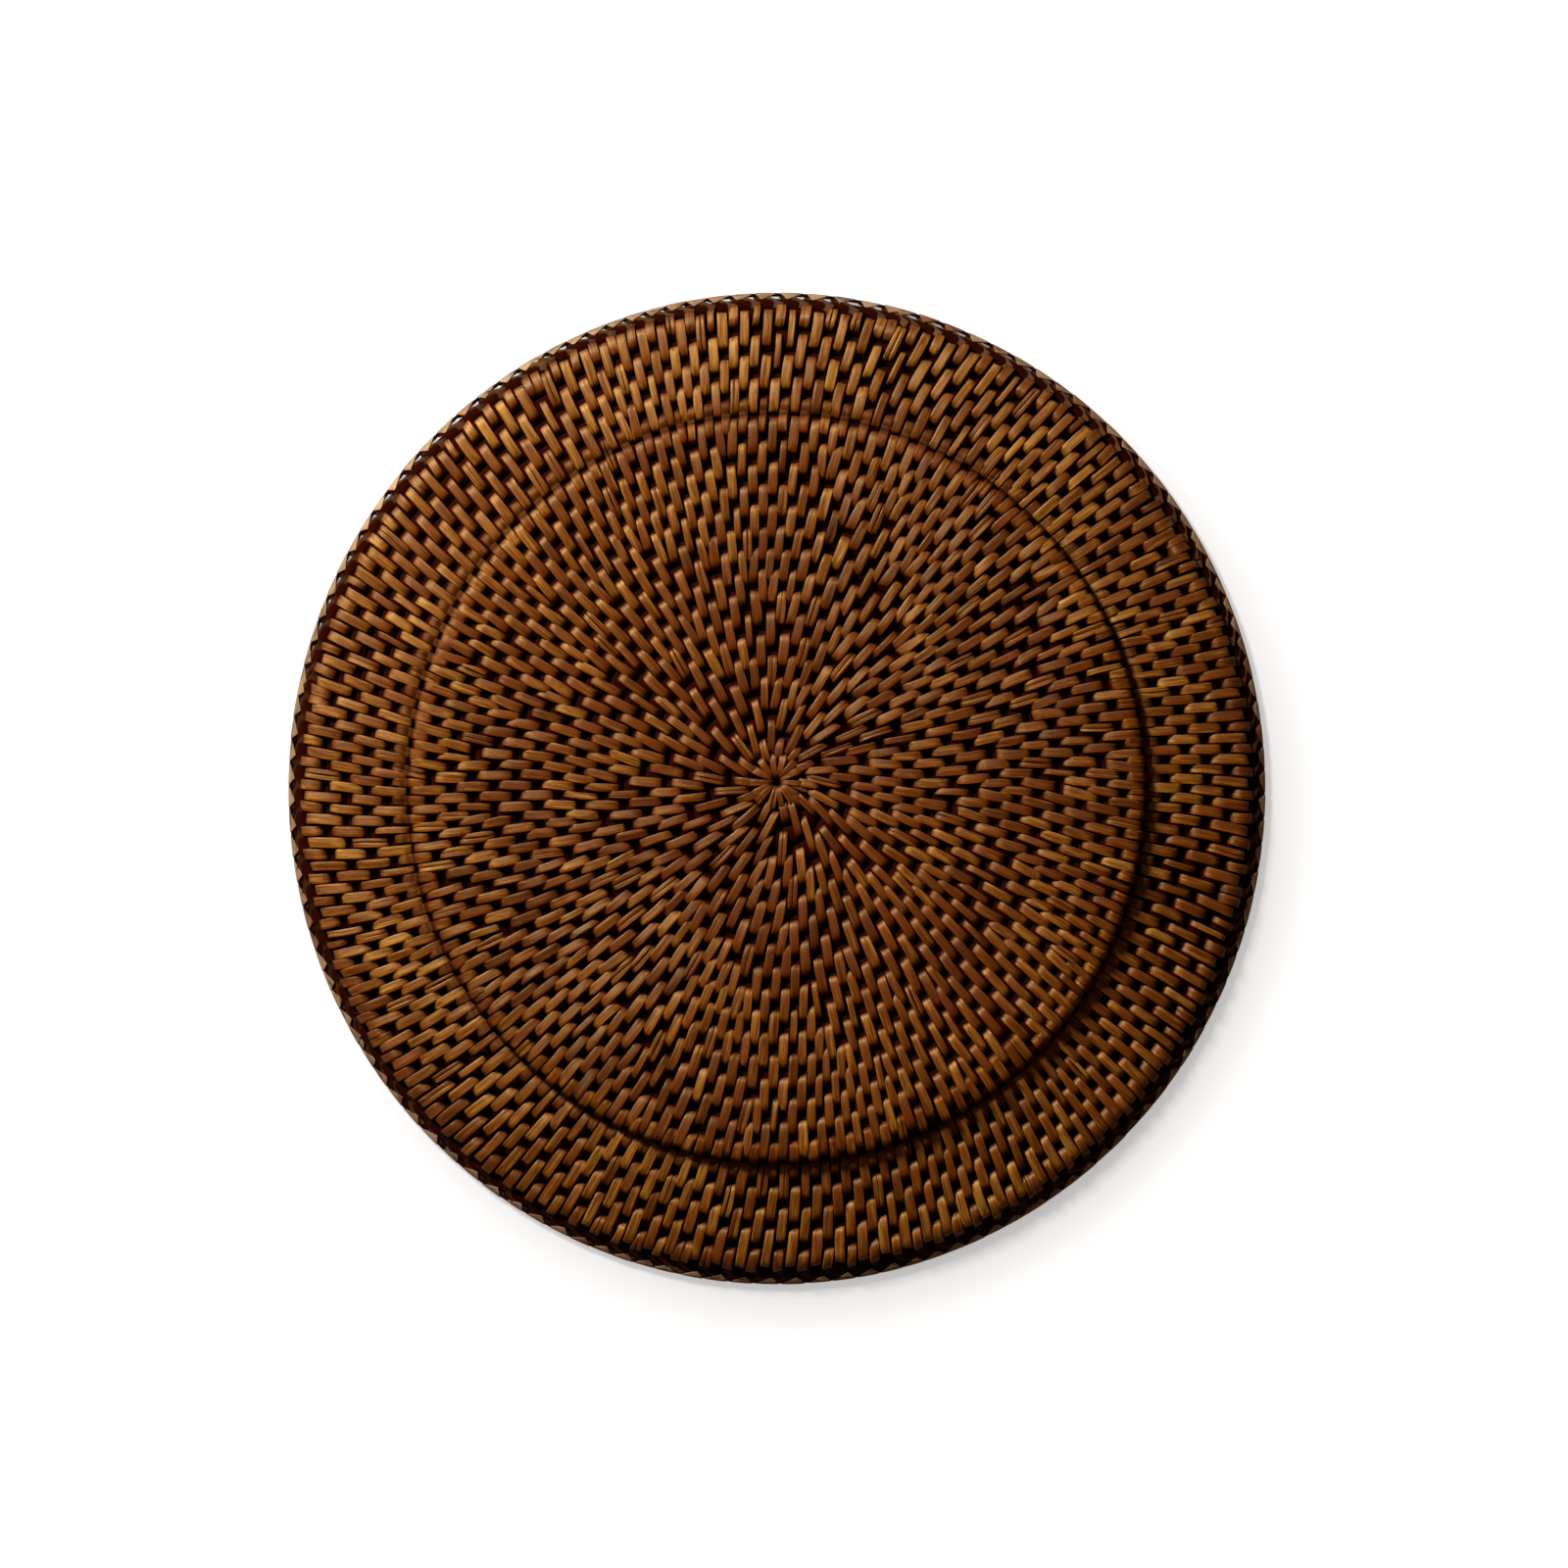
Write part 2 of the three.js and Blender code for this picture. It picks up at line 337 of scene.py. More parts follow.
class PlateStage(bpy.types.PropertyGroup):
    """Light, floor and camera."""

    key_azimuth: angle_property(
        "Key azimuth", "Direction that the main light comes from, counterclockwise from +X", 131)
    key_elevation: angle_property("Key elevation", "Height of the main light above the horizon", 33)
    key_distance: length_property("Key distance", "Distance of the main light from the plate", 1.3)
    key_size: length_property("Key size", "Side of the square main light", 0.26)
    key_power: number_property("Key power", "Power of the main light in watts", 34.5)
    fill_strength: number_property("Fill strength", "Brightness of the soft light from all round", 0.075)
    fill_lean: number_property(
        "Fill lean", "How much brighter the soft light is on the main light's side", 0.2)
    fill_colour: colour_property("Fill colour", "Colour of the soft light", 1.0, 0.66, 0.45)
    floor_grey: share_property("Floor grey", "How much of the light the floor gives back", 0.3)
    floor_glow: number_property(
        "Floor glow", "Brightness that the camera sees on the floor beside that light", 0.68)
    camera_height: length_property("Camera height", "Height of the camera over the plate", 1.6)
    frame_width: length_property("Frame width", "Width that the image covers at the plate", 0.5248)
    camera_offset: bpy.props.FloatVectorProperty(
        name="Camera offset", description="Place of the camera over the plate", size=2,
        default=(2.4 * MM, 1.5 * MM), unit="LENGTH", subtype="XYZ")


class Holds:
    """The places, in turns, where stitches hold on to the canes, and how much room each has there."""

    def __init__(self):
        self.line = np.zeros(0, int)
        self.place = np.zeros(0)

    def add(self, line, places):
        """Adds holds on a line and returns their numbers."""
        first = len(self.place)
        self.line = np.concatenate([self.line, np.full(len(places), line)])
        self.place = np.concatenate([self.place, places])
        return np.arange(first, first + len(places))

    def settle_order(self):
        """Finds each hold's neighbours on its cane. The coil has two ends, and the hoops close."""
        count = len(self.place)
        self.before = np.arange(count)
        self.after = np.arange(count)
        self.turn_before = np.zeros(count)
        self.turn_after = np.zeros(count)
        for line in np.unique(self.line):
            ids = np.flatnonzero(self.line == line)
            ids = ids[np.argsort(self.place[ids])]
            self.before[ids[1:]] = ids[:-1]
            self.after[ids[:-1]] = ids[1:]
            if line != COIL:
                self.before[ids[0]] = ids[-1]
                self.after[ids[-1]] = ids[0]
                self.turn_before[ids[0]] = -1
                self.turn_after[ids[-1]] = 1

    def neighbours(self):
        """Places of the holds before and after each."""
        return self.place[self.before] + self.turn_before, self.place[self.after] + self.turn_after

    def even_out(self):
        """Moves each hold, apart from the coil's two ends, towards the middle between its neighbours."""
        low, high = self.neighbours()
        own = np.arange(len(self.place))
        ends = (self.before == own) | (self.after == own)
        self.place = np.where(ends, self.place, self.place + EVEN_SHARE * ((low + high) / 2 - self.place))

    def room(self):
        """Half the angle to each neighbour, before and after."""
        low, high = self.neighbours()
        angle_low = (self.place - low) * TAU / 2
        angle_high = (high - self.place) * TAU / 2
        angle_low = np.where(angle_low < LEAST_ANGLE, angle_high, angle_low)
        angle_high = np.where(angle_high < LEAST_ANGLE, angle_low, angle_high)
        return angle_low, angle_high

    def ends(self, ids, offset=0):
        """The ends of stitches at these holds: where their canes lie, and the room that they have."""
        return Ends(*self.seats(), self.place - offset, *self.room()).some(ids)

    def seats(self):
        """Radius, height and share of the cane's thickness at each hold."""
        radius, share = lay.coil(self.place)
        height = np.full(len(self.place), lay.foot_height)
        for hoop in range(lay.hoops):
            on_hoop = self.line == hoop
            radius = np.where(on_hoop, lay.hoop_radius[hoop], radius)
            share = np.where(on_hoop, 1.0, share)
            height = np.where(on_hoop, lay.hoop_height[hoop], height)
        return radius, height, share


class Ends:
    """One end of each stitch of a run: the cane that it goes round, its place in turns, and its room."""

    def __init__(self, radius, height, share, place, room_low, room_high):
        self.radius = radius
        self.height = height
        self.share = share
        self.place = place
        self.room_low = room_low
        self.room_high = room_high

    def some(self, chosen):
        """The same for some of the stitches."""
        return Ends(self.radius[chosen], self.height[chosen], self.share[chosen], self.place[chosen],
                    self.room_low[chosen], self.room_high[chosen])


def between(places, counts):
    """Places spread through the gaps between neighbours: so many in each gap."""
    laid = []
    for start, stop, count in zip(places[:-1], places[1:], counts):
        laid += [start + (stop - start) * (k + 1) / (count + 1) for k in range(count)]
    return np.array(laid)


def lay_coil(sizes, rng):
    """Places of the coil's stitches, in turns. Each goes into a gap of the turn before, and where the
    coil has grown by a whole stitch two go into one gap."""
    first = round(TAU * (lay.first_radius + lay.pitch) / sizes.stitch_period)
    places = [k / first - PARED_SHARE for k in range(first)]
    end = lay.foot_rows + 1 - PARED_SHARE
    owed = 0.0
    index = 0
    while places[-1] < end:
        start, stop = places[index], places[index + 1]
        radius, _ = lay.coil(start + 1)
        owed += (stop - start) * TAU * (radius + lay.pitch / 2) / sizes.stitch_period
        count = 2 if owed > rng.uniform(*DOUBLE_LIMITS) else 1
        owed -= count
        places += list(between([start + 1, stop + 1], [count]))
        index += 1
    return np.array(places[:-1])


def lay_ring(places, total, rng):
    """Places of a ring row: so many in all, spread over the gaps of the row before."""
    gaps = len(places)
    marks = np.floor((np.arange(gaps + 1) + rng.random()) * total / gaps)
    return between(np.append(places, places[0] + 1), np.diff(marks).astype(int))


def drift(places, radius, waves):
    """A smooth change over the plate: the sum of these waves."""
    angle = TAU * places
    rings = radius / lay.pitch
    return sum(np.sin(number * angle + turn * rings + start) for number, turn, start in waves)


def lay_petals(sizes, rng):
    """The ends of the short stitches that go through the eye and over the first turn."""
    count = sizes.petals
    whole = np.ones(count)
    place = (np.arange(count) + rng.uniform(-PETAL_SPREAD, PETAL_SPREAD, count)) / count
    room = np.full(count, PETAL_ROOM * TAU / 2 / count)
    height = whole * (lay.foot_height + PETAL_LIFT)
    near = Ends(whole * (sizes.strip_end + PETAL_NEAR), height, whole, place, room, room)
    far = Ends(whole * (lay.first_radius + PETAL_FAR), height, whole, place, room, room)
    return near, far


def plan_sewing(sizes):
    """Lays out every stitch of the plate and evens them out on their canes, always in the same way.
    Returns the inner and outer ends of each run of stitches."""
    rng = np.random.default_rng(sizes.seed)
    holds = Holds()
    runs = {}

    def sew(name, inner_line, outer_line, places, offset):
        """Adds a run of stitches, with the turns between its two lines. Its lean drifts over the plate,
        so that neighbours lie side by side."""
        inner, outer = holds.add(inner_line, places), holds.add(outer_line, places + offset)
        radius, _, _ = holds.seats()
        waves = drift(places, radius[inner], LEAN_WAVES)
        leans = np.tan(sizes.stitch_slant + sizes.slant_spread * waves / 2)
        runs[name] = (inner, outer, offset, leans)

    coil = lay_coil(sizes, rng)
    foot_end = lay.foot_rows - PARED_SHARE
    step = coil[coil >= foot_end]
    sew("foot", COIL, COIL, coil[coil < foot_end], 1)
    sew("step", COIL, 0, step, -lay.foot_rows)
    ring = step - lay.foot_rows
    for row in range(1, lay.hoops):
        ring = lay_ring(ring, sizes.ring_stitches, rng)
        sew(f"ring_{row}", row - 1, row, ring, 0)
    edge = holds.add(lay.hoops - 1, lay_ring(ring, sizes.rim_wraps, rng))
    holds.settle_order()
    for _ in range(SETTLE_ROUNDS):
        holds.even_out()
        radius, _, _ = holds.seats()
        for inner, outer, offset, leans in runs.values():
            lean = lay.pitch * leans / (TAU * radius[inner])
            error = holds.place[outer] - offset - holds.place[inner] - lean
            holds.place[inner] += LEAN_SHARE * error
            holds.place[outer] -= LEAN_SHARE * error
    radius, _, _ = holds.seats()
    holds.place += rng.normal(0, PLACE_SPREAD, len(holds.place)) / (TAU * radius)

    sewn = {}
    for name, (inner, outer, offset, _) in runs.items():
        sewn[name] = (holds.ends(inner), holds.ends(outer, offset))
    inner, outer = sewn["foot"]
    in_eye = inner.place < 1 - PARED_SHARE
    eye_seat = lay.first_radius + EYE_SEAT * lay.pitch
    inner.radius = np.where(in_eye, np.maximum(inner.radius, eye_seat), inner.radius)
    inner.share = np.where(in_eye, 1.0, inner.share)
    lean = (outer.radius - inner.radius) * math.tan(sizes.stitch_slant) / (TAU * outer.radius)
    inner.place = np.where(in_eye, outer.place - lean, inner.place)
    outer.radius = outer.radius + WALL_OUT * (outer.radius > lay.foot_radius - lay.pitch / 4)
    inner, _ = sewn["ring_1"]
    inner.radius = inner.radius - RING_IN
    _, outer = sewn[f"ring_{lay.hoops - 1}"]
    outer.radius = outer.radius + RING_OUT
    sewn["petals"] = lay_petals(sizes, rng)
    near, far = holds.ends(edge), holds.ends(edge)
    far.radius = far.radius + EDGE_OUT
    far.height = far.height - EDGE_DOWN
    sewn["edge"] = (near, far)
    return sewn


def vectors(x, y, z):
    return np.stack(np.broadcast_arrays(x, y, z), -1)


def around_plate(radius, clockwise, height, turns):
    """Points from their radius, their shift clockwise and their height, each strip at its own turn."""
    azimuth = (COIL_START - TAU * turns)[:, None, None]
    return vectors(radius * np.cos(azimuth) + clockwise * np.sin(azimuth),
                   radius * np.sin(azimuth) - clockwise * np.cos(azimuth), height)


def new_mesh(name, points, faces, layers):
    """A smooth mesh of points on the round plate. Each layer has a vector for every point."""
    mesh = bpy.data.meshes.new(name)
    mesh.from_pydata(lay.hand_made(points).tolist(), [], faces)
    mesh.shade_smooth()
    for label, vectors in layers.items():
        layer = mesh.attributes.new(label, "FLOAT_VECTOR", "POINT")
        layer.data.foreach_set("vector", vectors.astype(np.float32).ravel())
    return mesh


def new_object(name, data):
    made = bpy.data.objects.new(name, data)
    bpy.context.scene.collection.objects.link(made)
    return made


def finish_piece(mesh, name, finish, nodes):
    """Adds a piece to the plate, standing for these solids."""
    mesh.materials.append(finish)
    piece = new_object(name, mesh)
    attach(piece, "root")
    if nodes:
        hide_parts(*nodes)


class StripMesh:
    """Gathers strips into one mesh. Every strip is a grid of points, along it and round its section."""

    def __init__(self):
        self.points = []
        self.faces = []
        self.place = []
        self.grain = []
        self.tone = []
        self.cells = []
        self.count = 0
        self.strips = 0

    def add(self, points, place, grain, tone, closed):
        """Adds strips. Closed ones run round into themselves, and the others get an end face each."""
        strips, steps, sides, _ = points.shape
        spans = steps if closed else steps - 1
        along, around = np.meshgrid(np.arange(spans), np.arange(sides), indexing="ij")
        along, around = along.ravel(), around.ravel()
        next_along, next_around = (along + 1) % steps, (around + 1) % sides
        quads = np.stack([along * sides + around, next_along * sides + around,
                          next_along * sides + next_around, along * sides + next_around], 1)
        low_u, high_u = along / spans, (along + 1) / spans
        low_v, high_v = around / sides, (around + 1) / sides
        corners = np.stack([low_u, low_v, high_u, low_v, high_u, high_v, low_u, high_v], 1)
        for strip in range(strips):
            base = self.count + strip * steps * sides
            self.faces += (quads + base).tolist()
            self.cells.append((self.strips + strip, corners.reshape(-1, 2)))
            if not closed:
                last = base + (steps - 1) * sides
                self.faces.append([base + side for side in reversed(range(sides))])
                self.faces.append([last + side for side in range(sides)])
                ends = np.full((2 * sides, 2), 0.5)
                self.cells.append((self.strips + strip, ends))
        self.points.append(points.reshape(-1, 3))
        self.place.append(np.broadcast_to(place, points.shape).reshape(-1, 3))
        self.grain.append(grain.reshape(-1, 3))
        self.tone.append(np.repeat(tone.reshape(-1, 3), sides, axis=0))
        self.count += strips * steps * sides
        self.strips += strips

    def bake_map(self):
        """Every strip unrolled into a cell of its own, in rows and columns."""
        long_to_wide = 4.5
        margin = 0.04
        columns = max(1, round(math.sqrt(self.strips / long_to_wide)))
        rows = math.ceil(self.strips / columns)
        parts = []
        for strip, corners in self.cells:
            corner = np.array([strip % columns, strip // columns])
            parts.append((corner + margin + corners * (1 - 2 * margin)) / [columns, rows])
        return np.concatenate(parts)

    def piece(self, name, finish, slot, *nodes):
        """The finished object, riding on the plate and standing for these solids."""
        layers = {"strip_place": self.place, "strip_grain": self.grain, "strip_tone": self.tone}
        layers = {label: np.concatenate(parts) for label, parts in layers.items()}
        mesh = new_mesh(name, np.concatenate(self.points), self.faces, layers)
        bake_layer = mesh.uv_layers.new(name="OFBake")
        bake_layer.data.foreach_set("uv", self.bake_map().astype(np.float32).ravel())
        finish_piece(mesh, name, finish, nodes)


def tones(count, rng, paler=0.0, redder=0.0):
    """Random tone, warmth and stain for strips, each from 0 to 1."""
    tone = np.clip(rng.normal(MIDDLE_TONE + paler, TONE_SPREAD, count), 0, 1)
    warmth = np.clip(rng.random(count) ** WARMTH_POWER + redder, 0, 1)
    stain = STAIN_LIMIT * rng.random(count)
    return np.stack([tone, warmth, stain], 1)


def sewn_tones(places, radius, rng, paler):
    """Tones of stitches at these places. Peel is darker and redder towards the eye, and in patches."""
    inwards = 1 - smooth_step(*EYE_MARKS, radius)
    patches = drift(places, radius, TONE_WAVES)
    drifted, redder = (patch * patches + eye * inwards for patch, eye in zip(PATCH_TONE, EYE_TONE))
    return tones(len(places), rng, paler + drifted, redder)


def loop_path(inner, outer, sizes, rng):
    """Closed paths of stitches round one cane or two, as radius and height: a flat arch on either side."""
    middle = (inner.place + outer.place) / 2
    in_r = inner.radius * np.cos(TAU * (inner.place - middle))
    out_r = outer.radius * np.cos(TAU * (outer.place - middle))
    run_r, rise = out_r - in_r, outer.height - inner.height
    span = np.hypot(run_r, rise)
    along_r = (run_r / span)[:, None]
    along_z = (rise / span)[:, None]
    short = span < SHORT_SPAN * lay.pitch

    angle = (np.arange(STITCH_STEPS) + 0.5) / STITCH_STEPS * TAU - math.pi / 2
    cos, sin = np.cos(angle), np.sin(angle)
    arch = np.where(short, SHORT_ARCH, LONG_ARCH)[:, None]
    side = (1 + cos) / 2
    share = inner.share[:, None] * (1 - side) + outer.share[:, None] * side
    tall = sizes.strip_rise * share + rng.normal(0, RISE_SPREAD, len(span))[:, None]
    end_share = np.where(cos > 0, outer.share[:, None], inner.share[:, None])
    loose = rng.normal(0, REACH_SPREAD, (2, len(span), 1))
    reach = sizes.strip_end * np.where(short, SHORT_REACH, 1)[:, None] + np.where(cos > 0, loose[0], loose[1])
    long = span[:, None] / 2 + reach * end_share
    x = long * np.sign(cos) * np.abs(cos) ** (2 / arch)
    y = tall * np.sign(sin) * np.abs(sin) ** (2 / arch)
    path_r = ((in_r + out_r) / 2)[:, None] + x * along_r - y * along_z
    path_z = ((inner.height + outer.height) / 2)[:, None] + x * along_z + y * along_r
    return path_r, path_z


def smooth_loop(corners, steps):
    """A closed smooth line through corners, each given for every strip."""
    count = corners.shape[1]
    place = np.arange(steps) / steps * count
    start = np.floor(place).astype(int)
    share = (place - start)[:, None]
    before, here, after, beyond = (corners[:, (start + k) % count] for k in (-1, 0, 1, 2))
    return 0.5 * (2 * here + (after - before) * share
                  + (2 * before - 5 * here + 4 * after - beyond) * share ** 2
                  + (3 * here - before - 3 * after + beyond) * share ** 3)


def step_path(wall, landing):
    """Closed paths of the step's stitches: over the foot's last turn, down its wall and on over the first
    hoop. The corners are in mm, out and up from the middle of the cane that they go round."""
    hoop = ((0.0, -2.85), (1.9, -1.6), (2.2, 0.4), (1.6, 2.1), (0.0, 2.8), (-1.6, 2.2))
    edge = ((4.5, -2.4), (3.9, -0.9), (3.3, 1.0), (2.6, 2.3))
    top = ((0.0, 2.85), (-1.5, 2.4), (-2.3, -0.2), (-2.0, -1.9), (-0.3, -2.85))
    corners = []
    for middle, height, offsets in ((landing.radius, landing.height, hoop),
                                    (np.full_like(wall.radius, lay.foot_radius), wall.height, edge),
                                    (wall.radius, wall.height, top)):
        corners += [np.stack([middle + r * MM, height + z * MM], -1) for r, z in offsets]
    path = smooth_loop(np.stack(corners, 1), STEP_STEPS)
    return path[..., 0], path[..., 1]


def softly_least(first, second):
    """The smaller of two lengths, with a smooth change from one to the other."""
    sharpness = 6.0
    return (first ** -sharpness + second ** -sharpness) ** (-1 / sharpness)


def groove_shade(radius):
    """Painted shade on the step's stitches: darkest where they dip between the foot and the first hoop, and
    kept on over the first hoop.
    """
    out = radius - lay.foot_radius
    groove = np.exp(-((out - GROOVE_OUT) / GROOVE_HALF) ** 2)
    return GROOVE_SHADE * groove + LANDING_SHADE * smooth_step(*LANDING_MARKS, out)


def wind_strips(sheet, inner, outer, path, sizes, rng, paler=0.0, shade_at=None):
    """Adds stitches along closed paths, given as radius and height, each a flat strip. A few are split."""
    path_r, path_z = path
    split = rng.random(len(path_r)) < sizes.split_share
    order = np.concatenate([np.flatnonzero(~split), np.flatnonzero(split), np.flatnonzero(split)])
    splits = np.count_nonzero(split)
    side = np.concatenate([np.zeros(len(path_r) - splits), -np.ones(splits), np.ones(splits)])[:, None]
    inner, outer, path_r, path_z = inner.some(order), outer.some(order), path_r[order], path_z[order]
    count, steps = path_r.shape
    slope_r = np.roll(path_r, -1, 1) - np.roll(path_r, 1, 1)
    slope_z = np.roll(path_z, -1, 1) - np.roll(path_z, 1, 1)
    size = np.hypot(slope_r, slope_z)
    normal_r, normal_z = slope_z / size, -slope_r / size

    # The line along the middle of each strip, which leans from its inner end to its outer end.
    middle = (inner.place + outer.place) / 2
    middle_r = (inner.radius + outer.radius) / 2
    in_x = inner.radius * np.sin(TAU * (inner.place - middle))
    out_x = outer.radius * np.sin(TAU * (outer.place - middle))
    run_r = outer.radius - inner.radius
    short = np.abs(run_r) < SHORT_SPAN * lay.pitch
    safe_run = np.where(short, 1, run_r)
    own_lean = np.tan(rng.normal(sizes.stitch_slant, sizes.slant_spread, count))
    lean = np.where(short, own_lean, (out_x - in_x) / safe_run)[:, None]
    low, high = path_r.min(1, keepdims=True), path_r.max(1, keepdims=True)
    end = 2 * (path_r - low) / (high - low) - 1

    # Its width, which is what the peel has or what its neighbours leave, whichever is less.
    blend = smooth_step(0, 1, (path_r - inner.radius[:, None]) / safe_run[:, None])
    blend = np.where(short[:, None], 0.5, blend)
    slim = EYE_WIDTH + (1 - EYE_WIDTH) * smooth_step(*SLIM_MARKS, middle_r)
    width = sizes.strip_width * slim * np.clip(rng.normal(1, WIDTH_SPREAD, count), *WIDTH_LIMITS)
    narrow = rng.random(count) < NARROW_SHARE
    width = np.where(narrow, width * rng.uniform(*NARROW_LIMITS, count), width)[:, None]
    halves = []
    for room_in, room_out in ((inner.room_low, outer.room_low), (inner.room_high, outer.room_high)):
        free = room_in[:, None] * (1 - blend) + room_out[:, None] * blend
        free = np.maximum(np.abs(path_r) * free - sizes.strip_gap / 2, LEAST_HALF)
        halves.append(softly_least(width / 2, free) * (1 - END_TAPER * end ** 4))
    left = np.where(side > 0, SPLIT_HALF, -halves[0])
    right = np.where(side < 0, -SPLIT_HALF, halves[1])
    across = (left + right)[..., None] / 2 + (right - left)[..., None] / 2 * SECTION_ACROSS

    # Its section, a little twisted, ridged and bowed.
    roll = np.sin(rng.normal(0, sizes.stitch_roll, count))[:, None]
    twist = np.sin(rng.normal(0, sizes.stitch_roll, count))[:, None] * end
    tilt = np.clip((roll + twist)[..., None] * across, -TILT_LIMIT, TILT_LIMIT)
    ridges = np.zeros((count, 1, len(SECTION_HEIGHT)))
    ridges[..., ON_TOP] = rng.normal(0, RIDGE_SPREAD, (count, 1, ON_TOP.stop - ON_TOP.start))
    out = (SECTION_HEIGHT + ridges) * sizes.strip_thickness + tilt
    bow = rng.normal(0, BOW_SPREAD, count)[:, None] * (1 - end ** 2) * np.sign(normal_z)
    r = path_r[..., None] + normal_r[..., None] * out
    z = path_z[..., None] + normal_z[..., None] * out
    centre_x = (in_x + out_x)[:, None] / 2 + lean * (path_r - middle_r[:, None]) + bow
    points = around_plate(r, centre_x[..., None] + across, z, middle)

    # What its finish reads: its grain runs round the loop, so that it has no seam.
    start = rng.uniform(0, GRAIN_RANGE, count)[:, None, None]
    turn = np.arange(steps)[:, None] / steps * TAU
    loop = (size.sum(1) / 2 / TAU / MM)[:, None, None]
    grain = vectors(across / MM, loop * np.cos(turn) + start, loop * np.sin(turn))
    place = vectors(SECTION_ACROSS, end[..., None], normal_z[..., None])
    tone = np.repeat(sewn_tones(middle, middle_r, rng, paler)[:, None], steps, axis=1)
    # Painted shade, where given, is added to the stain number of the strips' tone
    if shade_at:
        tone[..., 2] += shade_at(path_r)
    sheet.add(points, place, grain, tone, True)


class Socket:
    """A number or colour in a finish. Arithmetic on it adds the nodes that work it out."""

    def __init__(self, finish, socket):
        self.finish = finish
        self.socket = socket

    def maths(self, operation, first, second):
        return self.finish.node("ShaderNodeMath", {"operation": operation}, {0: first, 1: second})

    def __add__(self, other):
        return self.maths("ADD", self, other)

    def __radd__(self, other):
        return self.maths("ADD", other, self)

    def __sub__(self, other):
        return self.maths("SUBTRACT", self, other)

    def __rsub__(self, other):
        return self.maths("SUBTRACT", other, self)

    def __mul__(self, other):
        return self.maths("MULTIPLY", self, other)

    def __rmul__(self, other):
        return self.maths("MULTIPLY", other, self)

    def power(self, exponent):
        return self.maths("POWER", self, exponent)

    def larger(self, other):
        return self.maths("MAXIMUM", self, other)

    def size(self):
        return self.maths("ABSOLUTE", self, 0)

    def part(self, axis):
        """One of the three numbers of a vector."""
        return self.finish.node("ShaderNodeSeparateXYZ", {}, {"Vector": self}, axis)

    def vector_maths(self, operation, other, output=0):
        return self.finish.node("ShaderNodeVectorMath", {"operation": operation}, {0: self, 1: other}, output)

    def times(self, factors):
        """A vector multiplied number by number."""
        return self.vector_maths("MULTIPLY", factors)

    def scaled(self, factor):
        """A colour made lighter or darker."""
        return self.finish.node("ShaderNodeVectorMath", {"operation": "SCALE"}, {0: self, "Scale": factor})


class Nodes:
    """A node tree under construction."""

    def __init__(self, owner):
        owner.use_nodes = True
        self.tree = owner.node_tree

    def node(self, kind, settings, sockets, output=0):
        """A node: its settings come first, then a value or a link for each socket named."""
        node = self.tree.nodes.new(kind)
        for key, value in settings.items():
            setattr(node, key, value)
        for key, value in sockets.items():
            self.feed(self.socket_of(node, key), value)
        return Socket(self, node.outputs[output])

    def socket_of(self, node, key):
        if isinstance(key, int):
            return node.inputs[key]
        found = [socket for socket in node.inputs if key in (socket.identifier, socket.name)]
        return found[0]

    def feed(self, socket, value):
        if isinstance(value, Socket):
            self.tree.links.new(value.socket, socket)
        else:
            socket.default_value = value

    def attribute(self, name):
        return self.node("ShaderNodeAttribute", {"attribute_name": name}, {}, "Vector")

    def noise(self, vector, detail, roughness=0.5):
        return self.node("ShaderNodeTexNoise", {}, {
            "Vector": vector, "Scale": 1.0, "Detail": detail, "Roughness": roughness})

    def ramp(self, value, low, high):
        """0 below the low mark, 1 above the high one, and smooth between."""
        return self.node("ShaderNodeMapRange", {"interpolation_type": "SMOOTHSTEP"}, {
            "Value": value, "From Min": low, "From Max": high})

    def mix(self, factor, first, second):
        return self.node("ShaderNodeMix", {"data_type": "RGBA"}, {
            "Factor_Float": factor, "A_Color": first, "B_Color": second}, 2)


class Finish(Nodes):
    """A material under construction."""

    def __init__(self, name):
        self.material = bpy.data.materials.new(name)
        super().__init__(self.material)
        self.shader = self.tree.nodes["Principled BSDF"]

    def surface(self, **values):
        for key, value in values.items():
            self.feed(self.shader.inputs[key.replace("_", " ")], value)

    def bump(self, height, distance):
        """Fine relief, as a normal for the shader."""
        normal = self.node("ShaderNodeBump", {}, {"Strength": 0.6, "Distance": distance, "Height": height})
        self.feed(self.shader.inputs["Normal"], normal)


def opaque(colour):
    return (*colour, 1.0)


BLACK = opaque((0.0, 0.0, 0.0))
WHITE = opaque((1.0, 1.0, 1.0))
LACQUER_TINT = opaque((1.0, 0.74, 0.34))

# How often the patterns of the peel change in a millimetre: across a strip, and round its loop
FIBRE_SCALE = (7.0, 0.3, 0.3)
BAND_SCALE = (2.1, 0.12, 0.12)
PATCH_SCALE = (0.7, 0.22, 0.22)
FLECK_SCALE = (3.0, 1.6, 1.6)
# And the grain of a cane: across it both ways, and along it
CANE_SCALE = (5.0, 5.0, 0.25)


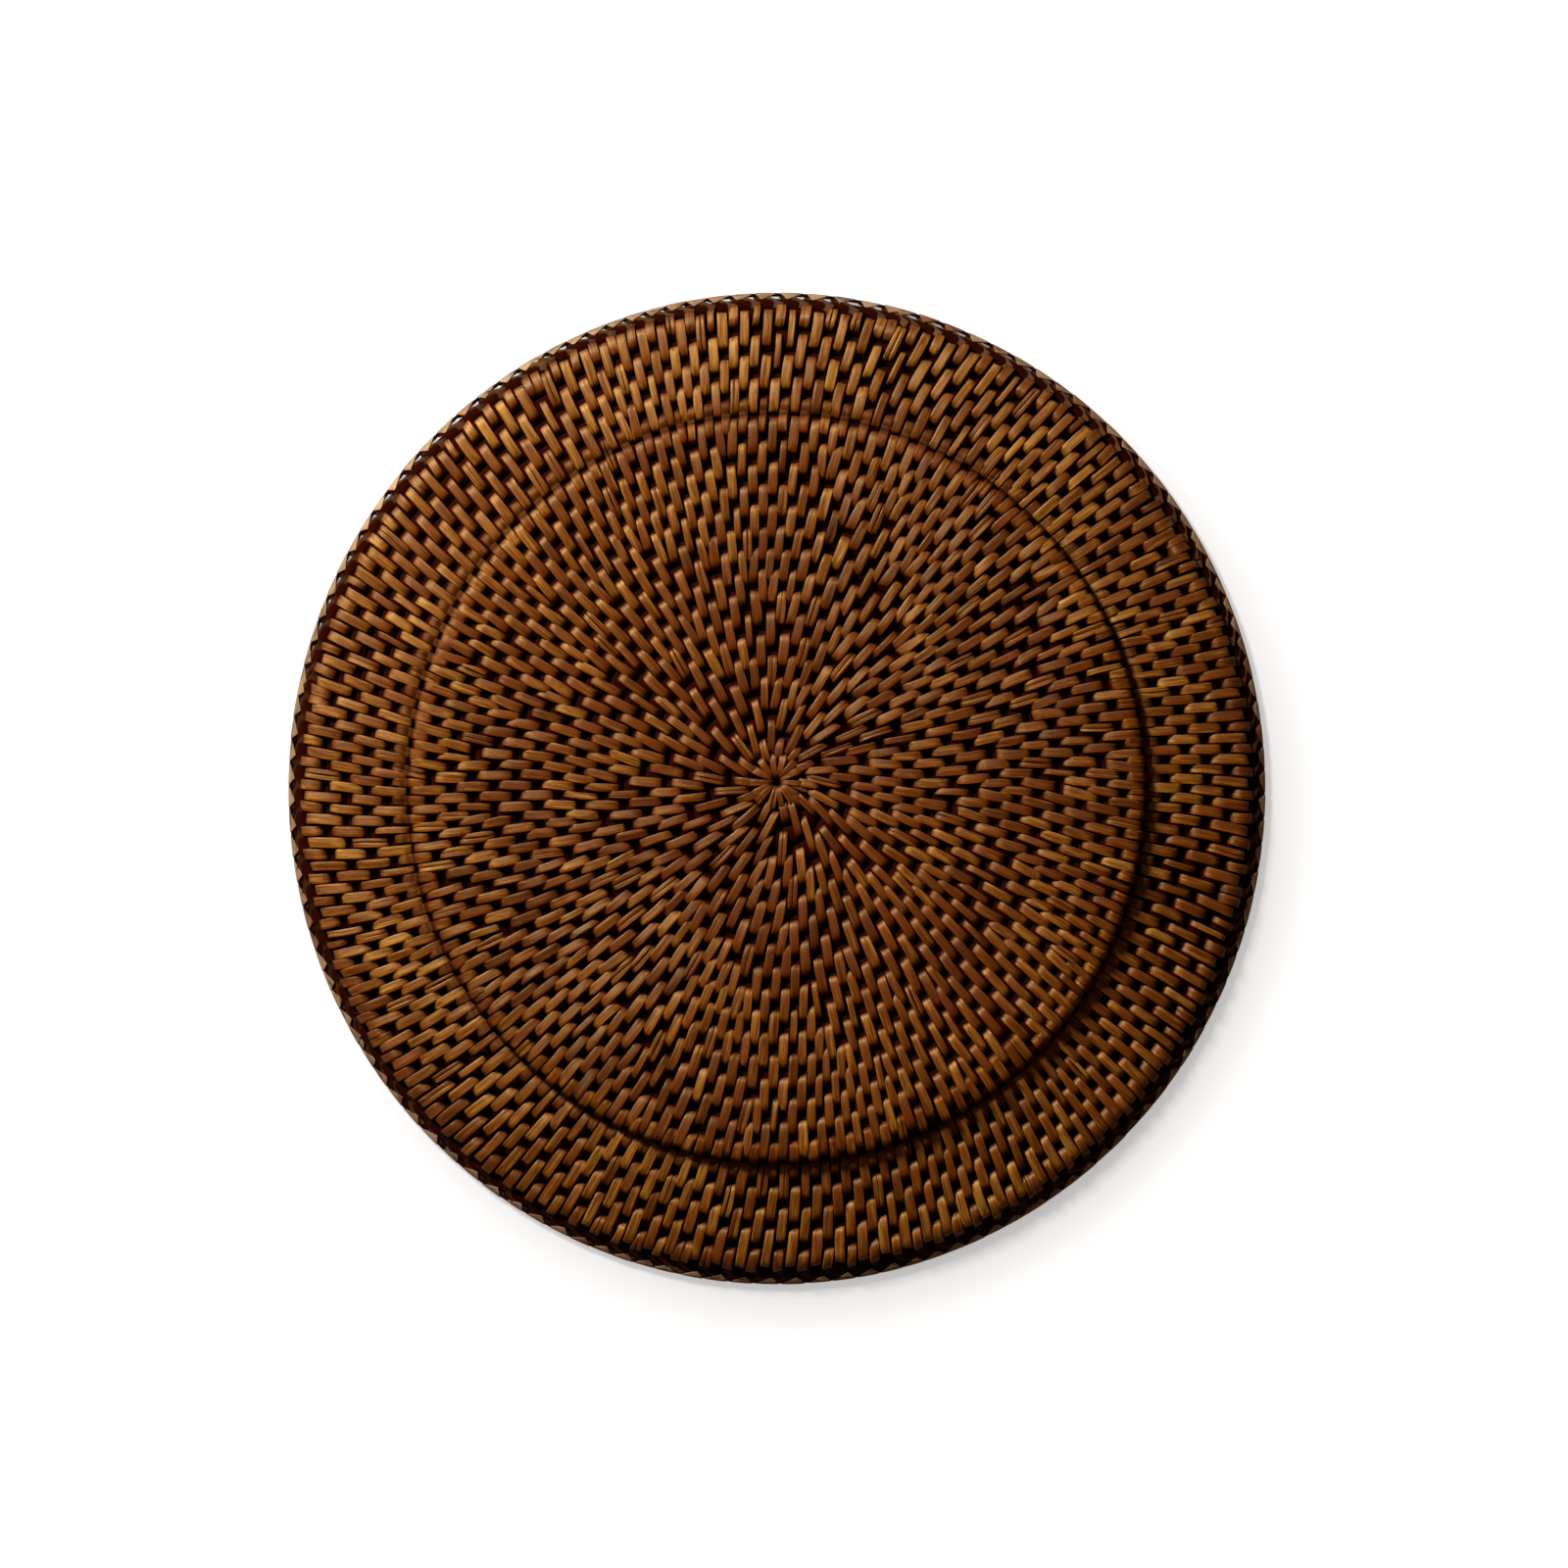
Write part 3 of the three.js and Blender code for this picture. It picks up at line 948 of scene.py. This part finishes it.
def peel_finish(name, colours, honey, pale, gloss, side_shade):
    """Lacquered rattan peel: long fibres, strips of many tones, and painted shade that darkens it towards the
    holes.
    """
    finish = Finish(name)
    place = finish.attribute("strip_place")
    grain = finish.attribute("strip_grain")
    tone = finish.attribute("strip_tone")
    # The third tone number is the strip's real stain, with painted shade added below the step and on the
    # rim's strands
    stain = tone.part(2)
    fibre = finish.noise(grain.times(FIBRE_SCALE), detail=3.0, roughness=0.6)
    band = finish.noise(grain.times(BAND_SCALE), detail=2.0, roughness=0.6)
    patch = finish.noise(grain.times(PATCH_SCALE), detail=2.0)
    fleck = finish.noise(grain.times(FLECK_SCALE), detail=1.0)
    level = tone.part(0) + (patch - 0.5) * 0.9 + (band - 0.5) * 1.1 + (fibre - 0.5)
    colour = finish.mix(finish.ramp(level, 0.1, 0.55), opaque(colours.peel_dark), opaque(honey))
    colour = finish.mix(finish.ramp(level, 0.5, 1.0), colour, opaque(pale))
    colour = finish.mix(tone.part(1) * 0.7, colour, opaque(colours.peel_red))
    flecked = 1 - finish.ramp(fleck, 0.68, 0.78) * 0.45
    # Painted shade: each strip is darkened along both its edges, where it meets its neighbours
    edge = 1 - finish.ramp(place.part(0).size(), 0.86, 1.0) * 0.3
    # Painted shade: where a strip turns steeply down into a hole its colour is darkened, and reddened as for
    # light bounced between strips; side_shade sets how much
    steep = (1 - finish.ramp(place.part(2), 0.2, 0.85)) * side_shade
    colour = finish.mix(steep * 0.875 + stain * 0.6, colour, opaque(colours.peel_red))
    colour = colour.scaled(flecked * edge * (1 - steep) * (1 - stain))
    rough = 0.28 + fibre * 0.18 + band * 0.1 + stain * 0.3
    finish.surface(Base_Color=colour, Roughness=rough, Specular_IOR_Level=gloss,
                   Specular_Tint=LACQUER_TINT)
    finish.bump(fibre, 0.2 * MM)
    return finish.material


def cane_finish(name, colour):
    """Stained cane: dark, with long grain. Its near-black colour is partly painted shade, for the holes
    between the stitches and the gaps at the rim.
    """
    finish = Finish(name)
    grain = finish.attribute("cane_grain")
    fibre = finish.noise(grain.times(CANE_SCALE), detail=3.0, roughness=0.6)
    dark = opaque([part * 0.5 for part in colour])
    light = opaque([part * 1.6 for part in colour])
    finish.surface(Base_Color=finish.mix(fibre, dark, light), Roughness=0.75 + fibre * 0.2,
                   Specular_IOR_Level=0.0)
    finish.bump(fibre, 0.15 * MM)
    return finish.material


def shared_finish(name, make, **details):
    """A finish that several pieces share, made once."""
    return bpy.data.materials.get(name) or make(name, **details)


def sewing_finish(context):
    colours = context.scene.plate_colours
    return shared_finish("binding_peel_finish", peel_finish, colours=colours, honey=colours.peel_honey,
                         pale=colours.peel_pale, gloss=0.5, side_shade=0.8)


def matte_finish(context):
    """For peel that lies deep, with less lacquer on it."""
    colours = context.scene.plate_colours
    return shared_finish("matte_peel_finish", peel_finish, colours=colours, honey=colours.peel_honey,
                         pale=colours.peel_pale, gloss=0.25, side_shade=0.4)


def wrap_finish(context):
    """For the paler peel of the rim."""
    colours = context.scene.plate_colours
    return shared_finish("rim_peel_finish", peel_finish, colours=colours, honey=colours.rim_tan,
                         pale=[part * 1.4 for part in colours.rim_tan], gloss=0.4, side_shade=0.25)


def core_finish(context, name="core_cane_finish"):
    return shared_finish(name, cane_finish, colour=context.scene.plate_colours.core)


def cane_piece(name, turns, radius, height, half_width, half_height, closed, finish, slot, *nodes):
    """A cane along a path of turns. Its radius, height and section are one number each, or one a step."""
    azimuth = COIL_START - TAU * turns
    around = np.arange(CANE_SIDES) / CANE_SIDES * TAU
    radius, height, half_width, half_height = (
        np.broadcast_to(value, turns.shape)[:, None] for value in (radius, height, half_width, half_height))
    wide, tall = half_width * np.cos(around), half_height * np.sin(around)
    r = radius + wide
    points = vectors(r * np.cos(azimuth)[:, None], r * np.sin(azimuth)[:, None], height + tall)
    steps = len(turns)
    faces = []
    for step in range(steps if closed else steps - 1):
        near, far = step * CANE_SIDES, (step + 1) % steps * CANE_SIDES
        for side in range(CANE_SIDES):
            after = (side + 1) % CANE_SIDES
            faces.append([near + side, near + after, far + after, far + side])
    if not closed:
        faces.append(list(reversed(range(CANE_SIDES))))
        faces.append([(steps - 1) * CANE_SIDES + side for side in range(CANE_SIDES)])
    length = np.cumsum(radius[:, 0] * np.abs(np.gradient(turns)) * TAU) / MM
    grain = vectors(wide / MM, tall / MM, length[:, None])
    mesh = new_mesh(name, points.reshape(-1, 3), faces, {"cane_grain": grain})
    finish_piece(mesh, name, finish, nodes)


def sew_row(context, name, ends, seed, *nodes, paler=0.0):
    """Adds a row of stitches as a piece, and returns the source of its unevenness."""
    sizes = context.scene.plate_sizes
    rng = np.random.default_rng([sizes.seed, seed])
    sheet = StripMesh()
    wind_strips(sheet, *ends, loop_path(*ends, sizes, rng), sizes, rng, paler)
    sheet.piece(name, sewing_finish(context), "binding_peel", *nodes)
    return rng


class RATTAN_OT_foot_canes(bpy.types.Operator):
    """Winds the foot's coil of round cane, in its three lengths"""
    bl_idname = "rattan.foot_canes"
    bl_label = "Foot canes"

    def execute(self, context):
        sizes = context.scene.plate_sizes
        starts = (-PARED_SHARE, *FOOT_LENGTHS[:-1])
        ends = (*FOOT_LENGTHS[:-1], FOOT_LENGTHS[-1] - COIL_TIP)
        for number, (start, end) in enumerate(zip(starts, ends), 1):
            turns = np.linspace(start, end, round((end - start) * COIL_STEPS))
            radius, share = lay.coil(turns)
            cane_piece(f"coil_length_{number}", turns, radius, lay.foot_height, sizes.cane_width * share,
                       sizes.cane_height * share, False, core_finish(context), "core_cane",
                       f"foot_cane_{number}")
        return {"FINISHED"}


class RATTAN_OT_ring_hoops(bpy.types.Operator):
    """Lays the ring's closed hoops of round cane"""
    bl_idname = "rattan.ring_hoops"
    bl_label = "Ring hoops"

    def execute(self, context):
        sizes = context.scene.plate_sizes
        turns = np.arange(HOOP_STEPS) / HOOP_STEPS
        for number, (radius, height) in enumerate(zip(lay.hoop_radius, lay.hoop_height), 1):
            cane_piece(f"round_hoop_{number}", turns, radius, height, sizes.cane_width, sizes.cane_height,
                       True, core_finish(context), "core_cane", f"ring_hoop_{number}")
        return {"FINISHED"}


class RATTAN_OT_rosette(bpy.types.Operator):
    """Sews the short stitches through the eye in the middle"""
    bl_idname = "rattan.rosette"
    bl_label = "Rosette"

    def execute(self, context):
        petals = plan_sewing(context.scene.plate_sizes)["petals"]
        sew_row(context, "rosette_petals", petals, 1, "centre_rosette")
        return {"FINISHED"}


class RATTAN_OT_foot_sewing(bpy.types.Operator):
    """Sews the rows of stitches between the turns of the foot"""
    bl_idname = "rattan.foot_sewing"
    bl_label = "Foot sewing"

    def execute(self, context):
        inner, outer = plan_sewing(context.scene.plate_sizes)["foot"]
        rows = np.floor(inner.place + PARED_SHARE).astype(int).clip(0, lay.foot_rows - 1)
        for row in range(lay.foot_rows):
            ends = inner.some(rows == row), outer.some(rows == row)
            number = f"{row + 1:02d}"
            sew_row(context, f"foot_stitches_{number}", ends, 100 + row, f"foot_binding_{number}")
        return {"FINISHED"}


class RATTAN_OT_step_sewing(bpy.types.Operator):
    """Sews the stitches from the foot's edge down to the ring"""
    bl_idname = "rattan.step_sewing"
    bl_label = "Step sewing"

    def execute(self, context):
        sizes = context.scene.plate_sizes
        wall, landing = plan_sewing(sizes)["step"]
        sheet = StripMesh()
        rng = np.random.default_rng([sizes.seed, 2])
        # The step's stitches get painted shade in the groove below the step and over the first hoop
        wind_strips(sheet, wall, landing, step_path(wall, landing), sizes, rng, shade_at=groove_shade)
        sheet.piece("step_stitches", matte_finish(context), "binding_peel", "step_binding")
        return {"FINISHED"}


class RATTAN_OT_ring_sewing(bpy.types.Operator):
    """Sews the rows of stitches between the hoops of the ring"""
    bl_idname = "rattan.ring_sewing"
    bl_label = "Ring sewing"

    def execute(self, context):
        sewn = plan_sewing(context.scene.plate_sizes)
        for row in range(1, lay.hoops):
            # Painted light: the ring's stitches are made paler by RING_PALER
            sew_row(context, f"ring_stitches_{row}", sewn[f"ring_{row}"], 200 + row, f"ring_binding_{row}",
                    paler=RING_PALER)
        return {"FINISHED"}


class RATTAN_OT_rim_cane(bpy.types.Operator):
    """Lays the thin cane inside the rim, and between it and the last hoop a near-black cane that is painted
    shade for the band there
    """
    bl_idname = "rattan.rim_cane"
    bl_label = "Rim cane"

    def execute(self, context):
        turns = np.arange(RIM_STEPS) / RIM_STEPS

        def rod(name, place, *details):
            depth, rise, half_width, half_height = place
            cane_piece(name, turns, lay.rim_edge - depth, lay.rim_height + rise, half_width, half_height,
                       True, *details)

        # The rim's cane takes the near-black core colour, partly painted shade for the dark wedges between
        # the wraps
        rod("rim_rod", RIM_ROD, core_finish(context, "rim_cane_finish"), "rim_cane", "rim_cane")
        # Painted shade: a near-black cane, not among the solids, that fills the band between the rim and the
        # last hoop
        rod("lash_rod", LASH_ROD, core_finish(context), "core_cane")
        return {"FINISHED"}


def wrap_rim(sheet, places, sizes, rng):
    """Adds the wraps of the rim: each is wide round the outside, and runs inwards over the top to a point,
    nearer to its anticlockwise side."""
    count = len(places)
    depth, height = np.moveaxis(smooth_loop(np.array([WRAP_CORNERS]), STITCH_STEPS)[0] * MM, -1, 0)
    slope_d, slope_z = np.gradient(depth), np.gradient(height)
    size = np.hypot(slope_d, slope_z)
    depth, height = depth[:, None], height[:, None]
    out = SECTION_HEIGHT * WRAP_THICK - WRAP_TILT * SECTION_ACROSS + rng.normal(0, WRAP_SPREAD, (count, 1, 1))
    r = lay.rim_edge - depth + (slope_z / size)[:, None] * (out - WRAP_THICK)
    z = np.maximum(height + (slope_d / size)[:, None] * (out - WRAP_THICK), OFF_GROUND)
    period = TAU * lay.rim_edge / count
    inward = np.clip((depth - WRAP_START) / (sizes.rim_depth - WRAP_START), 0, 1)
    uneven = rng.normal(0, SIDE_SPREAD, (2, count, 1, 1))
    left = period * (WRAP_SIDES[0] + uneven[0]) * inward
    right = period * (1 - (WRAP_SIDES[1] + uneven[1]) * inward)
    across = (left + right) / 2 + (right - left) / 2 * SECTION_ACROSS
    points = around_plate(r - across ** 2 / (2 * lay.rim_edge), across, z, places)
    start = rng.uniform(0, GRAIN_RANGE, count)[:, None, None]
    grain = vectors(depth / MM, across / MM + start, height / MM)
    tone = np.repeat(tones(count, rng)[:, None], len(depth), axis=1)
    sheet.add(points, vectors(SECTION_ACROSS, 0.0, 1.0), grain, tone, True)


def lay_strands(sheet, places, path, width, rng):
    """Adds dark strands. The path lists (clockwise shift, radius, height) from end to end."""
    count = len(places)
    path = np.array(path)[None] + rng.normal(0, STRAND_SPREAD, (count, 1, 3))
    ahead = np.gradient(path, axis=1)
    ahead /= np.linalg.norm(ahead, axis=-1, keepdims=True)
    aside = np.cross(ahead, [0, 0, 1.0])
    aside /= np.linalg.norm(aside, axis=-1, keepdims=True)
    up = np.cross(aside, ahead)
    widths = width * np.clip(rng.normal(1, STRAND_WIDTH_SPREAD, count), *STRAND_WIDTH_LIMITS)
    across = SECTION_ACROSS * widths[:, None, None] / 2
    local = path[:, :, None] + aside[:, :, None] * across[..., None]
    local = local + up[:, :, None] * (SECTION_HEIGHT[:, None] - 0.5) * STRAND_THICK
    r = np.minimum(local[..., 1], lay.rim_edge - STRAND_COVER)
    points = around_plate(r, local[..., 0], np.maximum(local[..., 2], OFF_GROUND), places)
    along = np.arange(path.shape[1])[:, None]
    start = rng.uniform(0, GRAIN_RANGE, count)[:, None, None]
    grain = vectors(across / MM, along + start, 0.0)
    tone = tones(count, rng)
    # Painted shade: the strands' colour is darkened, for the dark band between the rim and the last hoop
    tone[:, 2] = np.clip(rng.normal(STRAND_SHADE, SHADE_SPREAD, count), 0, 1)
    tone = np.repeat(tone[:, None], len(along), axis=1)
    sheet.add(points, vectors(SECTION_ACROSS, 0.0, 1.0), grain, tone, False)


class RATTAN_OT_rim_lashing(bpy.types.Operator):
    """Sews the edge stitches round the last hoop and lashes the rim to it"""
    bl_idname = "rattan.rim_lashing"
    bl_label = "Rim lashing"

    def execute(self, context):
        sizes = context.scene.plate_sizes
        ends = plan_sewing(sizes)["edge"]
        places = ends[0].place
        rng = sew_row(context, "edge_stitches", ends, 3)

        wraps = StripMesh()
        wrap_rim(wraps, places, sizes, rng)
        strands = StripMesh()
        period = TAU * lay.rim_edge / len(places)
        path = []
        for depth, rise in STRAND_CORNERS:
            along = (depth * MM - sizes.rim_depth) / math.tan(sizes.strand_lean)
            shift = STRAND_START * period + along
            path.append((shift, lay.rim_edge - depth * MM, lay.rim_height + rise * MM))
        lay_strands(strands, places, path, sizes.strand_width, rng)
        strands.piece("rim_strands", matte_finish(context), "binding_peel")
        wraps.piece("rim_wraps", wrap_finish(context), "binding_peel", "rim_lashing")
        return {"FINISHED"}


def floor_finish(stage, towards):
    """White ground. The camera sees most of its white without light, so that shadows stay pale, but less
    close to the plate on the side away from the light, as a painted shadow, and none under it."""
    finish = Finish("ground_finish")
    seen = finish.node("ShaderNodeLightPath", {}, {}, "Is Camera Ray")
    ground = finish.node("ShaderNodeTexCoord", {}, {}, "Object")
    rounded = ground.times((1 / (1 - lay.oval), 1 / (1 + lay.oval), 0))

    def far_from(middle, marks):
        near, far = (lay.rim_edge + mark for mark in marks)
        distance = rounded.vector_maths("DISTANCE", middle, "Value")
        return finish.node("ShaderNodeMapRange", {}, {"Value": distance, "From Min": near, "From Max": far})

    centre = (0, 0, 0)
    away = Vector((-towards.x, -towards.y, 0)).normalized() * SHADE_SHIFT
    behind = Vector((-math.cos(SLIT_SIDE), -math.sin(SLIT_SIDE), 0)) * SLIT_SHIFT
    # Painted light: on the side towards SLIT_SIDE the glow reaches in under the rim's slits; elsewhere it
    # stops at the plate's edge
    open_ground = far_from(behind, SLIT_MARKS).larger(far_from(centre, OPEN_MARKS))
    # Painted shadow: the glow fades towards the plate on the side away from the light
    shade = far_from(away, SHADE_MARKS).power(0.5)
    far_off = far_from(centre, FAR_MARKS)
    bright = stage.floor_glow * open_ground * shade + (1 - stage.floor_glow) * far_off
    finish.surface(Base_Color=opaque([stage.floor_grey] * 3), Roughness=1.0, Specular_IOR_Level=0.0,
                   Emission_Color=finish.mix(seen * bright, BLACK, WHITE), Emission_Strength=1.0)
    return finish.material


class RATTAN_OT_stage(bpy.types.Operator):
    """Sets up the ground, the light and the camera"""
    bl_idname = "rattan.stage"
    bl_label = "Stage"

    def execute(self, context):
        stage = context.scene.plate_stage
        flat = math.cos(stage.key_elevation)
        towards = Vector((math.cos(stage.key_azimuth) * flat, math.sin(stage.key_azimuth) * flat,
                          math.sin(stage.key_elevation)))
        mesh = bpy.data.meshes.new("ground")
        corners = [(GROUND_HALF * x, GROUND_HALF * y, 0) for x, y in ((-1, -1), (1, -1), (1, 1), (-1, 1))]
        mesh.from_pydata(corners, [], [[0, 1, 2, 3]])
        mesh.materials.append(floor_finish(stage, towards))
        new_object("ground", mesh)

        world = bpy.data.worlds.new("soft_room")
        context.scene.world = world
        sky = Nodes(world)
        direction = sky.node("ShaderNodeTexCoord", {}, {}, "Generated")
        facing = direction.vector_maths("DOT_PRODUCT", towards, "Value")
        background = sky.tree.nodes["Background"]
        bright = stage.fill_strength + stage.fill_lean * facing.larger(0).power(2)
        by_camera = sky.node("ShaderNodeLightPath", {}, {}, "Is Camera Ray")
        sky.feed(background.inputs["Strength"], bright + by_camera * (1 - bright))
        sky.feed(background.inputs["Color"], sky.mix(by_camera, opaque(stage.fill_colour), WHITE))
        lamp = bpy.data.lights.new("key", "AREA")
        lamp.energy = stage.key_power
        lamp.shape = "SQUARE"
        lamp.size = stage.key_size
        key = new_object("key", lamp)
        key.location = towards * stage.key_distance
        key.rotation_euler = towards.to_track_quat("Z", "Y").to_euler()

        lens = bpy.data.cameras.new("camera")
        lens.sensor_width = 36
        lens.lens = lens.sensor_width * stage.camera_height / stage.frame_width
        camera = new_object("camera", lens)
        frame_level = (cad_low.z + cad_high.z) / 3  # height at which the image has the frame's width
        camera.location = (*stage.camera_offset, stage.camera_height + frame_level)
        context.scene.camera = camera
        context.scene.view_settings.view_transform = "Standard"
        return {"FINISHED"}


class RATTAN_PT_plate(bpy.types.Panel):
    """The plate's steps, in order"""
    bl_label = "Rattan plate"
    bl_idname = "RATTAN_PT_plate"
    bl_space_type = "VIEW_3D"
    bl_region_type = "UI"
    bl_category = "Plate"

    def draw(self, context):
        for operator in STEPS:
            self.layout.operator(operator.bl_idname)


STEPS = (
    RATTAN_OT_foot_canes,
    RATTAN_OT_ring_hoops,
    RATTAN_OT_rosette,
    RATTAN_OT_foot_sewing,
    RATTAN_OT_step_sewing,
    RATTAN_OT_ring_sewing,
    RATTAN_OT_rim_cane,
    RATTAN_OT_rim_lashing,
    RATTAN_OT_stage,
)
GROUPS = (PlateSizes, PlateColours, PlateStage)


def register():
    for item in (*GROUPS, *STEPS, RATTAN_PT_plate):
        bpy.utils.register_class(item)
    bpy.types.Scene.plate_sizes = bpy.props.PointerProperty(type=PlateSizes)
    bpy.types.Scene.plate_colours = bpy.props.PointerProperty(type=PlateColours)
    bpy.types.Scene.plate_stage = bpy.props.PointerProperty(type=PlateStage)


def unregister():
    del bpy.types.Scene.plate_stage
    del bpy.types.Scene.plate_colours
    del bpy.types.Scene.plate_sizes
    for item in reversed((*GROUPS, *STEPS, RATTAN_PT_plate)):
        bpy.utils.unregister_class(item)


def main():
    register()
    bpy.ops.rattan.foot_canes()
    bpy.ops.rattan.ring_hoops()
    bpy.ops.rattan.rosette()
    bpy.ops.rattan.foot_sewing()
    bpy.ops.rattan.step_sewing()
    bpy.ops.rattan.ring_sewing()
    bpy.ops.rattan.rim_cane()
    bpy.ops.rattan.rim_lashing()
    bpy.ops.rattan.stage()


if __name__ == "__main__":
    main()
